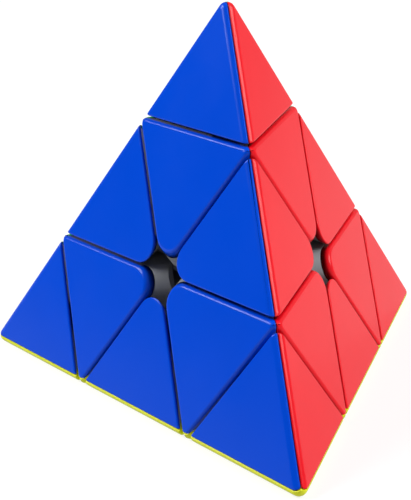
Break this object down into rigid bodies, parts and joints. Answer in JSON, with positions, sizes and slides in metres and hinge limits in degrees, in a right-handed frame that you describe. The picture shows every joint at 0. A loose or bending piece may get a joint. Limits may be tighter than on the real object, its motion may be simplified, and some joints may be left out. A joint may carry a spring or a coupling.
{
  "type": "pyramid twisty puzzle",
  "caption": "Pyramid-shaped twisty puzzle with flat coloured faces of rounded triangular tiles, turning tips, corner layers and edges on a hidden ball core.",
  "frame": {"origin": "middle of the core ball, where the four turning axes meet; also the centroid", "axes": "+Z through the top tip; +X along the back bottom edge, from the left tip to the right tip; -Y towards the front tip"},
  "size_m": [0.097, 0.0845, 0.0798],
  "materials": {
    "blue_plastic": "smooth, semi-gloss, colour moulded through",
    "red_plastic": "smooth, semi-gloss, colour moulded through",
    "green_plastic": "smooth, semi-gloss, colour moulded through",
    "yellow_plastic": "smooth, semi-gloss, colour moulded through",
    "inner_plastic": "dark grey moulded plastic",
    "core_plastic": "dark grey moulded plastic",
    "screw_steel": "zinc-plated steel",
    "spring_steel": "bright spring wire"
  },
  "bodies": {
    "core": {"core": "core_plastic", "top_screw": "screw_steel", "front_screw": "screw_steel", "left_screw": "screw_steel", "right_screw": "screw_steel"},
    "top_centre": {"top_centre_green_shell": "green_plastic", "top_centre_red_shell": "red_plastic", "top_centre_blue_shell": "blue_plastic", "top_centre_frame": "inner_plastic", "top_spring": "spring_steel"},
    "top_tip": {"top_tip_green_shell": "green_plastic", "top_tip_red_shell": "red_plastic", "top_tip_blue_shell": "blue_plastic", "top_tip_stem": "inner_plastic"},
    "front_centre": {"front_centre_yellow_shell": "yellow_plastic", "front_centre_red_shell": "red_plastic", "front_centre_blue_shell": "blue_plastic", "front_centre_frame": "inner_plastic", "front_spring": "spring_steel"},
    "front_tip": {"front_tip_yellow_shell": "yellow_plastic", "front_tip_red_shell": "red_plastic", "front_tip_blue_shell": "blue_plastic", "front_tip_stem": "inner_plastic"},
    "left_centre": {"left_centre_yellow_shell": "yellow_plastic", "left_centre_green_shell": "green_plastic", "left_centre_blue_shell": "blue_plastic", "left_centre_frame": "inner_plastic", "left_spring": "spring_steel"},
    "left_tip": {"left_tip_yellow_shell": "yellow_plastic", "left_tip_green_shell": "green_plastic", "left_tip_blue_shell": "blue_plastic", "left_tip_stem": "inner_plastic"},
    "right_centre": {"right_centre_yellow_shell": "yellow_plastic", "right_centre_green_shell": "green_plastic", "right_centre_red_shell": "red_plastic", "right_centre_frame": "inner_plastic", "right_spring": "spring_steel"},
    "right_tip": {"right_tip_yellow_shell": "yellow_plastic", "right_tip_green_shell": "green_plastic", "right_tip_red_shell": "red_plastic", "right_tip_stem": "inner_plastic"},
    "edge_top_front": {"edge_top_front_red_shell": "red_plastic", "edge_top_front_blue_shell": "blue_plastic", "edge_top_front_foot": "inner_plastic"},
    "edge_top_left": {"edge_top_left_green_shell": "green_plastic", "edge_top_left_blue_shell": "blue_plastic", "edge_top_left_foot": "inner_plastic"},
    "edge_top_right": {"edge_top_right_green_shell": "green_plastic", "edge_top_right_red_shell": "red_plastic", "edge_top_right_foot": "inner_plastic"},
    "edge_front_left": {"edge_front_left_yellow_shell": "yellow_plastic", "edge_front_left_blue_shell": "blue_plastic", "edge_front_left_foot": "inner_plastic"},
    "edge_front_right": {"edge_front_right_yellow_shell": "yellow_plastic", "edge_front_right_red_shell": "red_plastic", "edge_front_right_foot": "inner_plastic"},
    "edge_left_right": {"edge_left_right_yellow_shell": "yellow_plastic", "edge_left_right_green_shell": "green_plastic", "edge_left_right_foot": "inner_plastic"}
  },
  "joints": [
    {"name": "top_layer_turn", "type": "hinge", "parent": "core", "child": "top_centre", "pos_m": [0, 0, 0], "axis": [0, 0, 1], "range_deg": [-240, 120]},
    {"name": "top_tip_turn", "type": "hinge", "parent": "top_centre", "child": "top_tip", "pos_m": [0, 0, 0], "axis": [0, 0, 1], "continuous": true},
    {"name": "front_layer_turn", "type": "hinge", "parent": "core", "child": "front_centre", "pos_m": [0, 0, 0], "axis": [0, -0.9428, -0.3333], "range_deg": [-240, 120]},
    {"name": "front_tip_turn", "type": "hinge", "parent": "front_centre", "child": "front_tip", "pos_m": [0, 0, 0], "axis": [0, -0.9428, -0.3333], "continuous": true},
    {"name": "left_layer_turn", "type": "hinge", "parent": "core", "child": "left_centre", "pos_m": [0, 0, 0], "axis": [-0.8165, 0.4714, -0.3333], "range_deg": [-240, 120]},
    {"name": "left_tip_turn", "type": "hinge", "parent": "left_centre", "child": "left_tip", "pos_m": [0, 0, 0], "axis": [-0.8165, 0.4714, -0.3333], "continuous": true},
    {"name": "right_layer_turn", "type": "hinge", "parent": "core", "child": "right_centre", "pos_m": [0, 0, 0], "axis": [0.8165, 0.4714, -0.3333], "range_deg": [-240, 120]},
    {"name": "right_tip_turn", "type": "hinge", "parent": "right_centre", "child": "right_tip", "pos_m": [0, 0, 0], "axis": [0.8165, 0.4714, -0.3333], "continuous": true},
    {"name": "edge_top_front_turn", "type": "hinge", "parent": "top_centre", "child": "edge_top_front", "pos_m": [0, 0, 0], "axis": [0, -0.9428, -0.3333], "range_deg": [-240, 120]},
    {"name": "edge_top_left_turn", "type": "hinge", "parent": "top_centre", "child": "edge_top_left", "pos_m": [0, 0, 0], "axis": [-0.8165, 0.4714, -0.3333], "range_deg": [-240, 120]},
    {"name": "edge_top_right_turn", "type": "hinge", "parent": "top_centre", "child": "edge_top_right", "pos_m": [0, 0, 0], "axis": [0.8165, 0.4714, -0.3333], "range_deg": [-240, 120]},
    {"name": "edge_front_left_turn", "type": "hinge", "parent": "left_centre", "child": "edge_front_left", "pos_m": [0, 0, 0], "axis": [0, -0.9428, -0.3333], "range_deg": [-240, 120]},
    {"name": "edge_front_right_turn", "type": "hinge", "parent": "front_centre", "child": "edge_front_right", "pos_m": [0, 0, 0], "axis": [0.8165, 0.4714, -0.3333], "range_deg": [-240, 120]},
    {"name": "edge_left_right_turn", "type": "hinge", "parent": "right_centre", "child": "edge_left_right", "pos_m": [0, 0, 0], "axis": [-0.8165, 0.4714, -0.3333], "range_deg": [-240, 120]}
  ],
  "couplings": [
    {"joint": "edge_top_front_turn", "follows": "front_layer_turn", "ratio": 1},
    {"joint": "edge_top_left_turn", "follows": "left_layer_turn", "ratio": 1},
    {"joint": "edge_top_right_turn", "follows": "right_layer_turn", "ratio": 1},
    {"joint": "edge_front_left_turn", "follows": "front_layer_turn", "ratio": 1},
    {"joint": "edge_front_right_turn", "follows": "right_layer_turn", "ratio": 1},
    {"joint": "edge_left_right_turn", "follows": "left_layer_turn", "ratio": 1}
  ]
}
